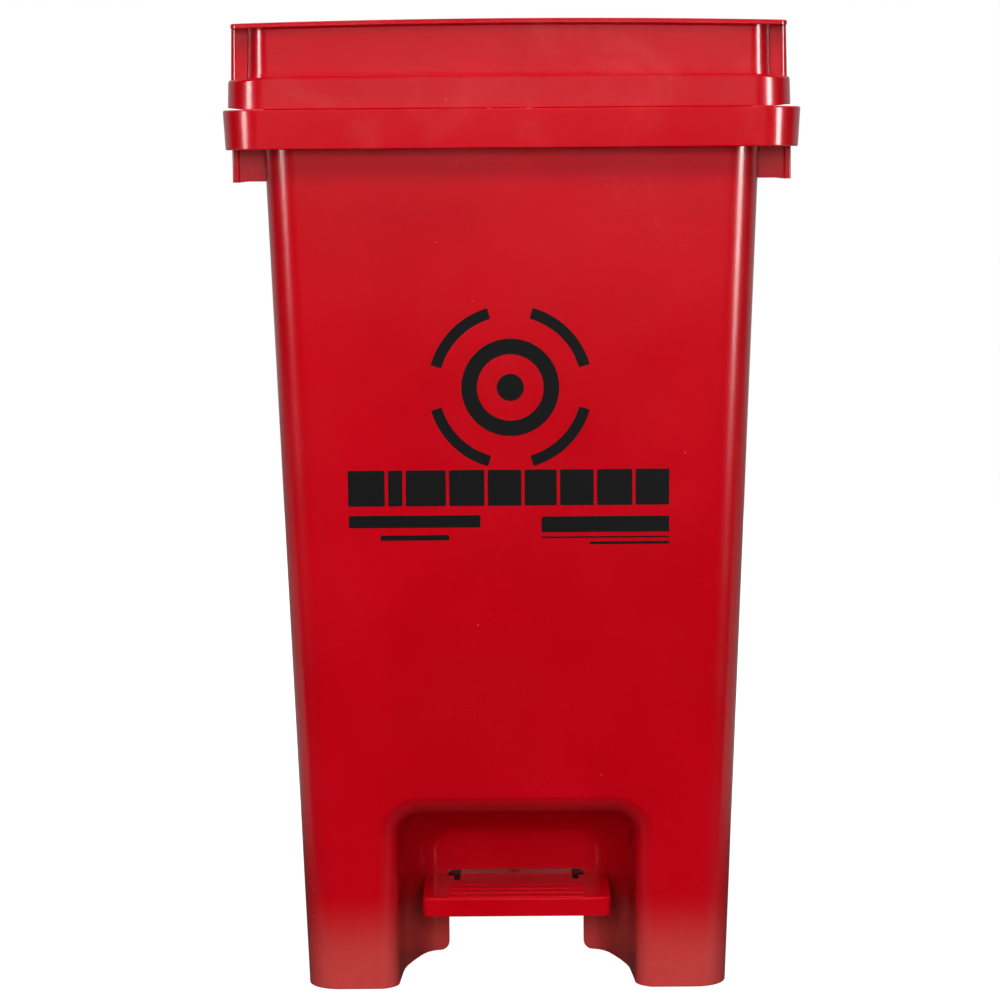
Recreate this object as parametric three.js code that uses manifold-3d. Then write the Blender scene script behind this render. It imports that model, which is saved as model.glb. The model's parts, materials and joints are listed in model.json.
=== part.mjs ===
// Step-on waste bin: a tapered bin body, a lid on two rear hinge pins, and a pedal lever under the
// floor that pushes a lift rod up the rear wall to open the lid.
// Units are millimetres. +Z is up, -Y is the front, and the origin is on the floor under the middle.
import * as THREE from 'three';
import { mergeVertices } from 'three/addons/utils/BufferGeometryUtils.js';
import Module from 'manifold-3d';

const wasm = await Module();
wasm.setup();

// Driving dimensions
const overallHeight = 600;
const wall = 3;
const gap = 0.35;
const cornerSteps = 6;
const roundSteps = 20;

const rim = { halfWidth: 173.5, depth: 300, bottom: 523.2, top: 547, radius: 25, draft: 1.4 };
const hinge = {
  offset: 9,
  height: 562,
  spread: 95,
  pinRadius: 3,
  pinHeadRadius: 5.5,
  clipRadius: 6,
  earRadius: 9,
  earOffset: 14.5,
  earThickness: 5,
  knuckleRadius: 8,
  knuckleHalfLength: 11.4,
  holeReach: 130,
};
const rimFront = -(rim.depth + hinge.offset + hinge.earRadius) / 2;
const rimBack = rimFront + rim.depth;
const hingeY = rimBack + hinge.offset;
const earFace = hinge.earOffset + hinge.earThickness / 2 + gap;

const body = {
  baseHalfWidth: 131,
  topHalfWidth: 150,
  baseInset: 50,
  topInset: 23,
  radius: 20,
  floor: 72,
  footHeight: 6,
  footThickness: 7,
};
const grip = { front: rimFront + 52, back: rimBack - 52, halfWidth: 170.4, bottom: 503.5, thickness: 4.4 };
const rimRib = { stations: [-130, -80, 0, 80, 130], thickness: 2.5, setUp: 5 };
const axleRib = { x: 55, halfThickness: 3 };

const recess = {
  mouthHalfWidth: 87,
  mouthTop: 123.6,
  halfWidth: 74.2,
  top: 109.6,
  rearHalfWidth: 72,
  rearTop: 105,
  cornerHalfWidth: 60.2,
  cornerTop: 88,
  backHalfWidth: 50,
  backTop: 78,
  lip: 15,
  radius: 18,
  back: -9,
  creaseDepth: 2.6,
  creaseRise: 5,
  cornerDepth: 9.6,
  rearDepth: 50,
  faceHeight: 60,
};
const slot = { halfWidth: 44, top: 53.7 };
const rearNotch = { halfWidth: 50, top: 69, depth: 36 };

const lid = {
  top: overallHeight,
  flange: 3,
  bandBottom: 547.6,
  bandTop: 566.9,
  bandHalfWidth: 169.3,
  upperHalfWidth: 157,
  upperRadius: 14,
  earHalfWidth: 167.2,
  earRadius: 4,
  earSetback: 20,
  flangeHalfWidth: 165.7,
  flangeRadius: 5,
  setback: 3,
  upperStep: 7,
  bow: 2,
};
const liftSlot = { halfWidth: 15.5 };

const pivot = { y: 4, z: 43.5, radius: 4, halfLength: 64, bushRadius: 6.4, ribDepth: 9 };
const lever = {
  rearReach: 124.7,
  rearDrop: 15,
  webInner: 36.8,
  webThickness: 3,
  flangeOuter: 43.2,
  flangeThickness: 2.5,
  flangeRear: 81,
  flangeRearTop: 44.2,
  front: -68,
  frontTop: 46.4,
  frontBottom: 39.5,
  stepY: -32,
  stepTop: 47.6,
  middleBottom: 38,
  endRadius: 6.5,
};
const webOuter = lever.webInner + lever.webThickness;
const liftY = pivot.y + lever.rearReach;
const crossZ = pivot.z - lever.rearDrop;
const crossRodHalfLength = 45.5;
const crank = {
  radius: 24,
  startAngle: 39,
  pinRadius: 2,
  pinReach: 14,
  headRadius: 3.5,
  clipRadius: 4.2,
  clipThickness: 1.45,
};
const crankY = hingeY - crank.radius * Math.cos(THREE.MathUtils.degToRad(crank.startAngle));
const crankZ = hinge.height - crank.radius * Math.sin(THREE.MathUtils.degToRad(crank.startAngle));
const crankMiddleY = (crankY + hingeY - crank.radius) / 2;

const tread = {
  halfWidth: 59.8,
  front: -78,
  back: -20,
  frontTop: 50.9,
  backTop: 52.6,
  bottom: 38.4,
  thickness: 2.6,
  ribPitch: 10.3,
  ribHalfLength: 43,
  tongueHalfWidth: 36.2,
  tongueTop: 52.6,
  tongueBottom: 48.6,
  tongueBack: -2.5,
};
const rod = { radius: 3, bottom: 36, top: 543.5 };
const guide = {
  seat: 118,
  heights: { upper: 400, lower: 180 },
  halfWidth: 24,
  halfHeight: 8,
  plate: 3.5,
  bossRadius: 6.5,
  screwOffset: 17,
};

// Lift bracket: a bent plate under the lid, with two cheeks that hold the crank pin.
const bracket = {
  front: 92,
  top: 587.7,
  plate: 2.5,
  cheekInner: 8.5,
  cheekOuter: 11,
  cheekRadius: 5,
  cheekFrontDepth: 8,
  plateBack: 6.5,
  screws: [98, 114],
  bossRadius: 5,
};
const upperLink = { halfWidth: 7.5, wall: 2.3, below: 9, above: 5.2, slotPlay: 0.7, slotClearance: 0.8 };
const lowerLink = {
  halfWidth: 8,
  halfDepth: 8.2,
  above: 16,
  slotFront: 4.8,
  slotBack: 5.7,
  slotHalfHeight: 4.9,
};
const screw = { radius: 2, headRadius: 4, headHeight: 2.2 };
const pedalScrew = { y: -52, z: 43.5, tip: 47 };
const clip = { radius: 8, thickness: 1.8 };

// Materials
function redPlastic() {
  return new THREE.MeshStandardMaterial({ color: 0xb80514, roughness: 0.42, metalness: 0 });
}
function blackSteel() {
  return new THREE.MeshStandardMaterial({ color: 0x17171a, roughness: 0.5, metalness: 0.6 });
}
function zincSteel() {
  return new THREE.MeshStandardMaterial({ color: 0xb9bcc0, roughness: 0.35, metalness: 1 });
}
function blackNylon() {
  return new THREE.MeshStandardMaterial({ color: 0x1c1c1e, roughness: 0.55, metalness: 0 });
}

// Geometry helpers
function solidOf(geometry) {
  const bare = geometry.index ? geometry.clone() : geometry;
  bare.deleteAttribute('normal');
  bare.deleteAttribute('uv');
  const merged = mergeVertices(bare, 1e-4);
  return new wasm.Manifold(new wasm.Mesh({
    numProp: 3,
    vertProperties: Float32Array.from(merged.attributes.position.array),
    triVerts: Uint32Array.from(merged.index.array),
  }));
}

function geometryOf(solid) {
  const mesh = solid.getMesh();
  const geometry = new THREE.BufferGeometry();
  geometry.setAttribute('position', new THREE.BufferAttribute(Float32Array.from(mesh.vertProperties), 3));
  geometry.setIndex(new THREE.BufferAttribute(Uint32Array.from(mesh.triVerts), 1));
  return geometry;
}

function join(...solids) {
  return solids.reduce((whole, next) => whole.add(next));
}

function cut(solid, ...tools) {
  return tools.reduce((left, tool) => left.subtract(tool), solid);
}

function block(x0, x1, y0, y1, z0, z1) {
  const geometry = new THREE.BoxGeometry(x1 - x0, y1 - y0, z1 - z0);
  geometry.translate((x0 + x1) / 2, (y0 + y1) / 2, (z0 + z1) / 2);
  return solidOf(geometry);
}

// A closed loft through rings with the same number of points, each at its own height.
function loft(rings) {
  const count = rings[0].points.length;
  const positions = rings.flatMap((ring) => ring.points.flatMap((point) => [point.x, point.y, ring.at]));
  const indices = [];
  for (let level = 0; level < rings.length - 1; level += 1) {
    for (let i = 0; i < count; i += 1) {
      const a = level * count + i;
      const b = level * count + ((i + 1) % count);
      indices.push(a, b, b + count, a, b + count, a + count);
    }
  }
  for (const [a, b, c] of THREE.ShapeUtils.triangulateShape(rings[0].points, [])) {
    indices.push(a, c, b);
  }
  const last = (rings.length - 1) * count;
  for (const [a, b, c] of THREE.ShapeUtils.triangulateShape(rings[rings.length - 1].points, [])) {
    indices.push(last + a, last + b, last + c);
  }
  const geometry = new THREE.BufferGeometry();
  geometry.setAttribute('position', new THREE.Float32BufferAttribute(positions, 3));
  geometry.setIndex(indices);
  return geometry;
}

// A round bar along X between two stations.
function barX(radius, x0, x1, y, z) {
  const geometry = new THREE.CylinderGeometry(radius, radius, x1 - x0, roundSteps);
  geometry.rotateZ(Math.PI / 2);
  geometry.translate((x0 + x1) / 2, y, z);
  return solidOf(geometry);
}

function barY(radius, y0, y1, x, z) {
  const geometry = new THREE.CylinderGeometry(radius, radius, y1 - y0, roundSteps);
  geometry.translate(x, (y0 + y1) / 2, z);
  return solidOf(geometry);
}

function barZ(radius, z0, z1, x, y) {
  const geometry = new THREE.CylinderGeometry(radius, radius, z1 - z0, roundSteps);
  geometry.rotateX(Math.PI / 2);
  geometry.translate(x, y, (z0 + z1) / 2);
  return solidOf(geometry);
}

// A plate cut to a side outline of (y, z) points, running from x0 to x1.
function sidePlate(points, x0, x1) {
  const shape = new THREE.Shape(points);
  const geometry = new THREE.ExtrudeGeometry(shape, { depth: x1 - x0, bevelEnabled: false });
  const turn = new THREE.Matrix4().makeBasis(
    new THREE.Vector3(0, 1, 0),
    new THREE.Vector3(0, 0, 1),
    new THREE.Vector3(1, 0, 0),
  );
  geometry.applyMatrix4(turn);
  geometry.translate(x0, 0, 0);
  return solidOf(geometry);
}

function arcPoints(y, z, radius, startDegrees, endDegrees, steps) {
  const points = [];
  for (let step = 0; step <= steps; step += 1) {
    const angle = THREE.MathUtils.degToRad(startDegrees + ((endDegrees - startDegrees) * step) / steps);
    points.push(new THREE.Vector2(y + radius * Math.cos(angle), z + radius * Math.sin(angle)));
  }
  return points;
}

function point(u, v) {
  return new THREE.Vector2(u, v);
}

// A rounded rectangle in plan, whose front edge may bow forward in the middle.
function planOutline(halfWidth, front, back, radius, bow = 0) {
  const reach = halfWidth - radius;
  const points = [
    ...arcPoints(reach, back - radius, radius, 0, 90, cornerSteps),
    ...arcPoints(-reach, back - radius, radius, 90, 180, cornerSteps),
    ...arcPoints(-reach, front + radius, radius, 180, 270, cornerSteps),
  ];
  const bowSteps = bow > 0 ? 8 : 1;
  for (let step = 1; step < bowSteps; step += 1) {
    const x = reach * ((2 * step) / bowSteps - 1);
    points.push(point(x, front - bow * (1 - (x / reach) ** 2)));
  }
  points.push(...arcPoints(reach, front + radius, radius, 270, 360, cornerSteps));
  return points;
}

function planBlock(outline, z0, z1) {
  return solidOf(loft([{ at: z0, points: outline }, { at: z1, points: outline }]));
}

// Bin body
function wallAt(z, side) {
  return body.baseInset + ((body.topInset - body.baseInset) * z) / rim.bottom + side;
}

function bodyOutline(z, inset) {
  const halfWidth = body.baseHalfWidth + ((body.topHalfWidth - body.baseHalfWidth) * z) / rim.bottom;
  const step = wallAt(z, inset);
  return planOutline(halfWidth - inset, rimFront + step, rimBack - step, body.radius - inset * 0.8);
}

function bodyLoft(z0, z1, inset) {
  return solidOf(loft([
    { at: z0, points: bodyOutline(z0, inset) },
    { at: z1, points: bodyOutline(z1, inset) },
  ]));
}

// One cross-section of the foot recess: straight sides, a flat roof and round top corners.
function archOutline(halfWidth, top, radius) {
  return [
    point(-halfWidth, -5),
    point(halfWidth, -5),
    ...arcPoints(halfWidth - radius, top - radius, radius, 0, 90, cornerSteps),
    ...arcPoints(-halfWidth + radius, top - radius, radius, 90, 180, cornerSteps),
  ];
}

// The foot recess as a loft from its back wall to its flared mouth; grow thickens it all round.
function recessLoft(grow, mouthY) {
  const faceY = rimFront + wallAt(recess.faceHeight, 0);
  const creaseHalfWidth = (recess.backHalfWidth + recess.cornerHalfWidth) / 2;
  const sections = [
    [recess.back, recess.backHalfWidth, recess.backTop],
    [recess.back - recess.creaseDepth, creaseHalfWidth, recess.backTop + recess.creaseRise],
    [recess.back - recess.cornerDepth, recess.cornerHalfWidth, recess.cornerTop],
    [recess.back - recess.rearDepth, recess.rearHalfWidth, recess.rearTop],
    [faceY + recess.lip, recess.halfWidth, recess.top],
    [faceY + recess.lip / 3, recess.halfWidth + recess.lip / 3, recess.top + recess.lip / 6],
    [faceY, recess.mouthHalfWidth, recess.mouthTop],
    [mouthY, recess.mouthHalfWidth + 2, recess.mouthTop + 2],
  ];
  const rings = sections.map(([y, halfWidth, top], index) => ({
    at: -(y + (index === 0 ? grow : 0)),
    points: archOutline(halfWidth + grow, top + grow, recess.radius + grow),
  }));
  const geometry = loft(rings);
  geometry.rotateX(Math.PI / 2);
  return solidOf(geometry);
}

function rimOutline(z, inset) {
  const step = inset + (rim.draft * (rim.top - z)) / (rim.top - rim.bottom);
  return planOutline(rim.halfWidth - step, rimFront + step, rimBack - step, rim.radius - step);
}

function rimLoft(z0, z1, inset) {
  return solidOf(loft([
    { at: z0, points: rimOutline(z0, inset) },
    { at: z1, points: rimOutline(z1, inset) },
  ]));
}

function rimSolid() {
  return cut(rimLoft(rim.bottom, rim.top, 0), rimLoft(rim.bottom - 1, rim.top - wall, wall));
}

function rimRibSolids() {
  const half = rimRib.thickness / 2;
  const bottom = rim.bottom + rimRib.setUp;
  const front = rimRib.stations.map((x) => block(
    x - half, x + half, rimFront + 2, rimFront + body.topInset + 1, bottom, rim.top - 1,
  ));
  const back = rimRib.stations.filter((x) => x !== 0).map((x) => block(
    x - half, x + half, rimBack - body.topInset - 1, rimBack - 2, bottom, rim.top - 1,
  ));
  return [...front, ...back];
}

function gripSolids() {
  const solids = [];
  for (const side of [-1, 1]) {
    const skirt = [side * grip.halfWidth, side * (grip.halfWidth - grip.thickness)].sort((a, b) => a - b);
    const fin = [side * grip.halfWidth, side * (body.topHalfWidth - 2)].sort((a, b) => a - b);
    solids.push(block(...skirt, grip.front, grip.back, grip.bottom, rim.top - 1));
    solids.push(block(...fin, grip.front, grip.front + wall, grip.bottom, rim.top - 1));
    solids.push(block(...fin, grip.back - wall, grip.back, grip.bottom, rim.top - 1));
  }
  return solids;
}

// Four upright ears behind the rim, two to each hinge pin.
function hingeEarSolids() {
  const outline = [
    point(rimBack - wall / 2, rim.bottom + 2),
    point(rimBack + 5, rim.bottom + 2),
    ...arcPoints(hingeY, hinge.height, hinge.earRadius, 0, 180, 8),
    point(rimBack, rim.top - 1),
    point(rimBack - wall / 2, rim.top - 1),
  ];
  const ears = [];
  for (const side of [-1, 1]) {
    for (const offset of [-hinge.earOffset, hinge.earOffset]) {
      const x = side * hinge.spread + offset;
      ears.push(sidePlate(outline, x - hinge.earThickness / 2, x + hinge.earThickness / 2));
    }
  }
  return ears;
}

// Bearing ribs that hang from the floor and carry the pedal axle.
function axleRibSolids() {
  const outline = [
    point(recess.back - 0.5, body.floor + 1),
    point(recess.back - 0.5, pivot.z - pivot.ribDepth + 3),
    point(pivot.y - 3, pivot.z - pivot.ribDepth),
    point(pivot.y + 5, pivot.z - pivot.ribDepth),
    point(pivot.y + 10, pivot.z - pivot.ribDepth + 5),
    point(pivot.y + 24, body.floor + 1),
  ];
  return [-1, 1].map((side) => sidePlate(
    outline, side * axleRib.x - axleRib.halfThickness, side * axleRib.x + axleRib.halfThickness,
  ));
}

function guideBossSolids() {
  const bosses = [];
  for (const z of Object.values(guide.heights)) {
    for (const side of [-1, 1]) {
      const wallY = rimBack - wallAt(z, 0);
      bosses.push(barY(guide.bossRadius, wallY - wall / 2, guide.seat, side * guide.screwOffset, z));
    }
  }
  return bosses;
}

function guideBossHoles() {
  const holes = [];
  for (const z of Object.values(guide.heights)) {
    for (const side of [-1, 1]) {
      holes.push(barY(screw.radius + gap, guide.seat - 7.5, guide.seat + 5, side * guide.screwOffset, z));
    }
  }
  return holes;
}

function binBody() {
  const shell = join(
    bodyLoft(0, rim.top - 1, 0),
    rimSolid(),
    ...rimRibSolids(),
    ...gripSolids(),
  );
  const recessWalls = recessLoft(wall, rimFront + body.topInset - 5);
  const inside = cut(bodyLoft(body.floor + wall, rim.top + 5, wall), recessWalls);
  const underside = cut(
    join(bodyLoft(body.footHeight, body.floor, wall), bodyLoft(-4, body.footHeight + 1, body.footThickness)),
    recessWalls,
  );
  const hollow = cut(shell, inside, underside, recessLoft(0, rimFront));
  const fitted = join(hollow, ...hingeEarSolids(), ...axleRibSolids(), ...guideBossSolids());
  const pinHole = barX(hinge.pinRadius + gap, -hinge.holeReach, hinge.holeReach, hingeY, hinge.height);
  const axleHole = barX(pivot.radius + gap, -pivot.halfLength, pivot.halfLength, pivot.y, pivot.z);
  const wallBack = rimBack - body.topInset;
  return cut(
    fitted,
    block(-slot.halfWidth, slot.halfWidth, recess.back - 2, recess.back + wall + 1, -5, slot.top),
    block(
      -rearNotch.halfWidth, rearNotch.halfWidth, wallBack - rearNotch.depth, wallBack, -5, rearNotch.top,
    ),
    block(
      -liftSlot.halfWidth, liftSlot.halfWidth,
      wallBack + 1.6, rimBack - wall,
      rim.top - wall - 1, rim.top + 5,
    ),
    pinHole,
    axleHole,
    ...guideBossHoles(),
  );
}

// Lid
function lidBody() {
  const front = rimFront + lid.setback + lid.bow;
  const back = rimBack - lid.setback;
  const step = lid.upperStep;
  const upperTop = lid.top - lid.flange;
  const band = (inset, z0, z1) => planBlock(
    planOutline(lid.bandHalfWidth - inset, front + inset, back - inset, rim.radius - inset, lid.bow), z0, z1,
  );
  const upper = (inset, z0, z1) => planBlock(
    planOutline(
      lid.upperHalfWidth - inset,
      front + step + inset,
      back - step - inset,
      lid.upperRadius - inset,
      lid.bow,
    ),
    z0, z1,
  );
  const sides = (inset, z0, z1) => planBlock(
    planOutline(
      lid.earHalfWidth - inset,
      front + lid.earSetback + inset,
      back - lid.earSetback - inset,
      lid.earRadius - inset,
    ),
    z0, z1,
  );
  const flange = planBlock(
    planOutline(lid.flangeHalfWidth, front + 2, back - 2, lid.flangeRadius, lid.bow), upperTop, lid.top,
  );
  const outer = join(
    band(0, lid.bandBottom, lid.bandTop),
    upper(0, lid.bandTop - 1, upperTop + 1),
    sides(0, lid.bandTop - 1, upperTop + 1),
    flange,
  );
  const shell = cut(
    outer,
    band(wall, lid.bandBottom - 1, lid.bandTop - wall),
    upper(wall, lid.bandTop - wall - 1, upperTop),
    sides(wall, lid.bandTop - wall - 1, upperTop),
  );
  const bosses = bracket.screws.map((y) => barZ(
    bracket.bossRadius, bracket.top + gap, upperTop + 1, 0, y,
  ));
  const knuckles = [-1, 1].map((side) => lidKnuckle(side * hinge.spread));
  const bossHoles = bracket.screws.map((y) => barZ(
    screw.radius + gap, bracket.top - 2, bracket.top + 7.5, 0, y,
  ));
  return cut(
    join(shell, ...bosses, ...knuckles),
    ...bossHoles,
    barX(hinge.pinRadius + gap, -hinge.holeReach, hinge.holeReach, hingeY, hinge.height),
    block(
      -liftSlot.halfWidth, liftSlot.halfWidth,
      back - wall - 1, back + 1,
      lid.bandBottom - 1, lid.bandTop - wall,
    ),
  );
}

// A round lug behind the lid, between two ears of the rim.
function lidKnuckle(x) {
  const back = rimBack - lid.setback;
  const outline = [
    point(back - wall / 2, hinge.height - 6.5),
    ...arcPoints(hingeY, hinge.height, hinge.knuckleRadius, -100, 100, 8),
    point(back - wall / 2, lid.bandTop - 0.5),
  ];
  return sidePlate(outline, x - hinge.knuckleHalfLength, x + hinge.knuckleHalfLength);
}

function liftBracket() {
  const cheek = [
    point(bracket.front, bracket.top),
    point(bracket.front, bracket.top - bracket.cheekFrontDepth),
    point(crankY - 12, crankZ + 9),
    ...arcPoints(crankY, crankZ, bracket.cheekRadius, 215, 360, 8),
    point(crankY - bracket.cheekRadius, crankZ + 16.5),
    point(crankY - bracket.plateBack, bracket.top),
  ];
  const plate = block(
    -bracket.cheekOuter, bracket.cheekOuter,
    bracket.front, crankY - bracket.plateBack,
    bracket.top - bracket.plate, bracket.top,
  );
  return cut(
    join(
      plate,
      sidePlate(cheek, bracket.cheekInner, bracket.cheekOuter),
      sidePlate(cheek, -bracket.cheekOuter, -bracket.cheekInner),
    ),
    barX(crank.pinRadius + gap, -20, 20, crankY, crankZ),
    ...bracket.screws.map((y) => barZ(screw.radius + gap, bracket.top - 10, bracket.top + 1, 0, y)),
  );
}

// Small parts
function headedScrewY(x, z, headY, length) {
  return join(
    barY(screw.headRadius, headY, headY + screw.headHeight, x, z),
    barY(screw.radius, headY - length, headY + 1, x, z),
  );
}

function headedScrewZ(x, y, headZ, length) {
  return join(
    barZ(screw.headRadius, headZ - screw.headHeight, headZ, x, y),
    barZ(screw.radius, headZ - 1, headZ + length, x, y),
  );
}

function pushClip(pinRadius, outerRadius, x0, x1, y, z) {
  return cut(barX(outerRadius, x0, x1, y, z), barX(pinRadius + gap, x0 - 1, x1 + 1, y, z));
}

// The two ends of a span along X, mirrored for the left side and put in order.
function spanOf(side, a, b) {
  return [Math.min(side * a, side * b), Math.max(side * a, side * b)];
}

function hingePin(side) {
  const outer = hinge.spread + earFace;
  const inner = hinge.spread - earFace - 2 * clip.thickness;
  return join(
    barX(hinge.pinRadius, ...spanOf(side, inner, outer), hingeY, hinge.height),
    barX(hinge.pinHeadRadius, ...spanOf(side, outer, outer + screw.headHeight), hingeY, hinge.height),
  );
}

function rodGuide(z) {
  const plateFront = guide.seat + gap;
  const bottom = z - guide.halfHeight;
  const top = z + guide.halfHeight;
  const screwHoles = [-1, 1].map((side) => barY(
    screw.radius + gap, plateFront - 1, plateFront + guide.plate + 1, side * guide.screwOffset, z,
  ));
  return cut(
    join(
      block(-guide.halfWidth, guide.halfWidth, plateFront, plateFront + guide.plate, bottom, top),
      block(-guide.halfHeight, guide.halfHeight, plateFront, liftY + 6.5, bottom, top),
    ),
    barZ(rod.radius + gap, bottom - 1, top + 1, 0, liftY),
    ...screwHoles,
  );
}

// Pedal and lever
function pedalTread() {
  const profile = (inset) => {
    const back = tread.back + (inset > 0 ? 1 : 0);
    const bottom = tread.bottom - (inset > 0 ? 1 : 0);
    return [
      point(tread.front + inset, bottom),
      point(back - (inset > 0 ? 0 : 3), bottom),
      point(back, tread.bottom + 5),
      point(back, tread.backTop - inset),
      point(tread.front + inset, tread.frontTop - inset),
    ];
  };
  const innerHalf = tread.halfWidth - tread.thickness;
  const shell = cut(
    sidePlate(profile(0), -tread.halfWidth, tread.halfWidth),
    sidePlate(profile(tread.thickness), -innerHalf, innerHalf),
  );
  const webs = [-1, 1].map((side) => block(
    ...spanOf(side, lever.webInner - 0.5, webOuter + 0.5),
    tread.back - 12, tread.back + 0.5, tread.tongueBottom - 4, tread.backTop + 9,
  ));
  const bosses = [-1, 1].map((side) => block(
    ...spanOf(side, webOuter + gap, webOuter + 9),
    pedalScrew.y - 6, pedalScrew.y + 6, tread.bottom + 0.6, tread.frontTop - 1.5,
  ));
  const ribs = [0, 1, 2, 3].map((row) => {
    const y = tread.front + 1.4 + row * tread.ribPitch;
    return block(
      -tread.ribHalfLength, tread.ribHalfLength, y - 1, y + 1, tread.frontTop - 2, treadTopAt(y) + 0.8,
    );
  });
  const tongue = sidePlate([
    point(tread.back - 2, tread.tongueBottom),
    point(tread.tongueBack, tread.tongueBottom),
    point(tread.tongueBack, tread.tongueTop),
    point(tread.back, tread.tongueTop),
    point(tread.back - 2, tread.backTop),
  ], -tread.tongueHalfWidth, tread.tongueHalfWidth);
  const screwHole = barX(
    screw.radius + gap, -pedalScrew.tip - gap, pedalScrew.tip + gap, pedalScrew.y, pedalScrew.z,
  );
  return cut(join(shell, ...bosses, ...ribs, tongue), ...webs, screwHole);
}

function treadTopAt(y) {
  const share = (y - tread.front) / (tread.back - tread.front);
  return tread.frontTop + (tread.backTop - tread.frontTop) * share;
}

function pedalScrewSolid(side) {
  const seat = lever.webInner - gap;
  return join(
    barX(screw.headRadius, ...spanOf(side, seat, seat - screw.headHeight), pedalScrew.y, pedalScrew.z),
    barX(screw.radius, ...spanOf(side, seat - 1, pedalScrew.tip), pedalScrew.y, pedalScrew.z),
  );
}

// One arm of the lever: an upright web with a folded top flange, bent down towards the rear.
function pedalArm(side) {
  const flangeTop = slot.top - 0.5;
  const flangeBottom = flangeTop - lever.flangeThickness;
  const bend = pivot.y + 14;
  const web = [
    point(lever.front, lever.frontBottom),
    point(pivot.y + 12, lever.middleBottom),
    point(liftY + 2, crossZ - lever.endRadius),
    point(liftY + lever.endRadius, crossZ - 2),
    point(liftY + lever.endRadius, crossZ + 3),
    point(liftY + 3, crossZ + lever.endRadius),
    point(bend, flangeTop),
    point(tread.back - 2, flangeTop),
    point(lever.stepY, lever.stepTop),
    point(lever.front, lever.frontTop),
  ];
  const flange = [
    point(tread.back + 0.6, flangeBottom),
    point(bend, flangeBottom),
    point(lever.flangeRear, lever.flangeRearTop - 2.6),
    point(lever.flangeRear, lever.flangeRearTop),
    point(bend, flangeTop),
    point(tread.back + 0.6, flangeTop),
  ];
  const through = spanOf(side, lever.webInner - 5, lever.flangeOuter + 5);
  return cut(
    join(
      sidePlate(web, ...spanOf(side, lever.webInner, webOuter)),
      sidePlate(flange, ...spanOf(side, lever.webInner, lever.flangeOuter)),
    ),
    barX(pivot.radius + gap, ...through, pivot.y, pivot.z),
    barX(pivot.radius + gap, ...through, liftY, crossZ),
    barX(screw.radius + gap, ...through, pedalScrew.y, pedalScrew.z),
  );
}

// Lift rod couplers: each has a slot that lets its pin slide a little from front to back.
function upperCoupler() {
  const halfSlot = (crank.radius - hingeY + crankY) / 2 + crank.pinRadius + upperLink.slotPlay;
  const halfDepth = halfSlot + upperLink.wall;
  const slotHalfHeight = crank.pinRadius + upperLink.slotClearance;
  return cut(
    block(
      -upperLink.halfWidth, upperLink.halfWidth,
      crankMiddleY - halfDepth, crankMiddleY + halfDepth,
      crankZ - upperLink.below, crankZ + upperLink.above,
    ),
    block(
      -upperLink.halfWidth - 1, upperLink.halfWidth + 1,
      crankMiddleY - halfSlot, crankMiddleY + halfSlot,
      crankZ - slotHalfHeight, crankZ + slotHalfHeight,
    ),
    barZ(rod.radius + gap, crankZ - upperLink.below - 1, rod.top + gap, 0, liftY),
  );
}

function lowerCoupler() {
  return cut(
    block(
      -lowerLink.halfWidth, lowerLink.halfWidth,
      liftY - lowerLink.halfDepth, liftY + lowerLink.halfDepth,
      crossZ - lowerLink.halfDepth, crossZ + lowerLink.above,
    ),
    block(
      -lowerLink.halfWidth - 1, lowerLink.halfWidth + 1,
      liftY - lowerLink.slotFront, liftY + lowerLink.slotBack,
      crossZ - lowerLink.slotHalfHeight, crossZ + lowerLink.slotHalfHeight,
    ),
    barZ(rod.radius + gap, rod.bottom - gap, crossZ + lowerLink.above + 1, 0, liftY),
  );
}

// The crank pin has a head outside the right cheek and stands past the left one for its clip.
function crankPin() {
  const cheek = bracket.cheekOuter + gap;
  return join(
    barX(crank.pinRadius, -crank.pinReach, cheek + 0.05, crankY, crankZ),
    barX(crank.headRadius, cheek, cheek + clip.thickness, crankY, crankZ),
  );
}

// Assembly
const bin = new THREE.Group();

function addPart(name, solid, material) {
  const mesh = new THREE.Mesh(geometryOf(solid), material);
  mesh.name = name;
  bin.add(mesh);
}

const sides = { left: -1, right: 1 };

addPart('bin_body', binBody(), redPlastic());
addPart('lid', lidBody(), redPlastic());
addPart('pedal_tread', pedalTread(), redPlastic());
addPart(
  'pedal_axle',
  barX(pivot.radius, -pivot.halfLength, pivot.halfLength, pivot.y, pivot.z),
  zincSteel(),
);
addPart(
  'cross_rod',
  barX(pivot.radius, -crossRodHalfLength, crossRodHalfLength, liftY, crossZ),
  zincSteel(),
);
addPart('lift_rod', barZ(rod.radius, rod.bottom, rod.top, 0, liftY), zincSteel());
addPart('upper_coupler', upperCoupler(), blackNylon());
addPart('lower_coupler', lowerCoupler(), blackNylon());
addPart('lift_bracket', liftBracket(), blackSteel());
addPart('crank_pin', crankPin(), zincSteel());
addPart(
  'crank_pin_clip',
  pushClip(
    crank.pinRadius,
    crank.clipRadius,
    -bracket.cheekOuter - gap - crank.clipThickness,
    -bracket.cheekOuter - gap,
    crankY,
    crankZ,
  ),
  blackSteel(),
);

for (const [index, y] of bracket.screws.entries()) {
  const bracketScrew = headedScrewZ(0, y, bracket.top - bracket.plate - gap, 9);
  addPart(`bracket_screw_${index === 0 ? 'front' : 'rear'}`, bracketScrew, zincSteel());
}

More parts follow.
